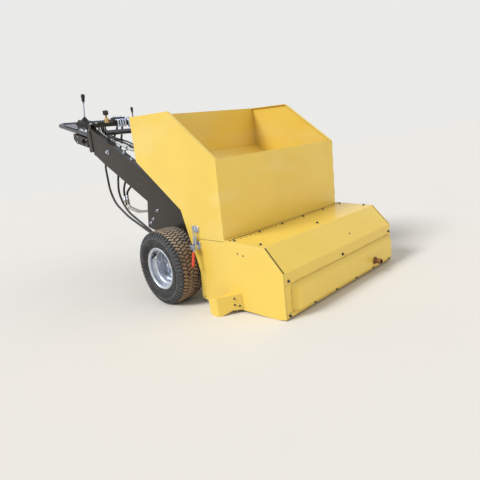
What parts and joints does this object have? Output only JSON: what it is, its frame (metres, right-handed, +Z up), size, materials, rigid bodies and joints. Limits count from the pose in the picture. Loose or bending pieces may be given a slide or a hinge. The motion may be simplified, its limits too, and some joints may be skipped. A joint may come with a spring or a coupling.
{
  "type": "walk-behind asphalt paver",
  "caption": "Small walk-behind asphalt paver: open hopper over a spreading box with sole plate, on two pneumatic drive wheels, with engine, hydraulic controls and a tube handle.",
  "frame": {"origin": "middle of the bounding box on the floor, on the machine's centre plane", "axes": "+Z up as it stands, +Y from the front box towards the operator's handle, X across; the machine is mirror-symmetric about X = 0 apart from its engine and controls"},
  "size_m": [1.156, 2.274, 1.369],
  "materials": {
    "yellow_paint": "gloss",
    "frame_black": "semi-gloss",
    "dark_steel": "bare, dull",
    "rusty_steel": "heat-tinted, dull",
    "zinc": "zinc plated",
    "red_grip": "satin",
    "lever_black": "satin",
    "tank_black": "satin",
    "brass": "satin",
    "engine_grey": "satin",
    "engine_silver": "satin",
    "hose_rubber": "satin",
    "tyre": "matt",
    "rim_silver": "silver, semi-gloss"
  },
  "bodies": {
    "chassis": {"hopper_shell": "yellow_paint", "box_side_plates": "yellow_paint", "box_rear_wall": "yellow_paint", "cover_sheet": "yellow_paint", "front_panel": "yellow_paint", "front_pan": "yellow_paint", "strike_off_plate": "dark_steel", "screed_plate": "dark_steel", "screed_beams": "dark_steel", "burner_pipe": "rusty_steel", "side_shoes": "yellow_paint", "clamp_keepers": "zinc", "clamp_levers": "zinc", "arm_plates": "frame_black", "arm_posts": "frame_black", "cross_channel": "frame_black", "console_plate": "frame_black", "cross_tube": "frame_black", "handle_loop": "frame_black", "lever_stand": "frame_black", "travel_lever": "lever_black", "gate_lever": "lever_black", "control_box": "frame_black", "flow_valve": "brass", "valve_block": "zinc", "engine_bed": "frame_black", "engine_block": "engine_grey", "engine_shroud": "engine_silver", "fuel_tank": "engine_silver", "muffler": "engine_silver", "air_cleaner": "lever_black", "hydraulic_tank": "tank_black", "hydraulic_pump": "engine_silver", "motor_hoses": "hose_rubber", "supply_hoses": "hose_rubber", "steel_pipes": "zinc", "wheel_motors": "frame_black"},
    "wheel_left": {"tyre_left": "tyre", "rim_left": "rim_silver", "hub_left": "zinc"},
    "wheel_right": {"tyre_right": "tyre", "rim_right": "rim_silver", "hub_right": "zinc"}
  },
  "joints": [
    {"name": "wheel_left_spin", "type": "hinge", "parent": "chassis", "child": "wheel_left", "pos_m": [-0.4955, -0.29162, 0.2045], "axis": [1, 0, 0], "continuous": true},
    {"name": "wheel_right_spin", "type": "hinge", "parent": "chassis", "child": "wheel_right", "pos_m": [0.4955, -0.29162, 0.2045], "axis": [1, 0, 0], "continuous": true}
  ]
}
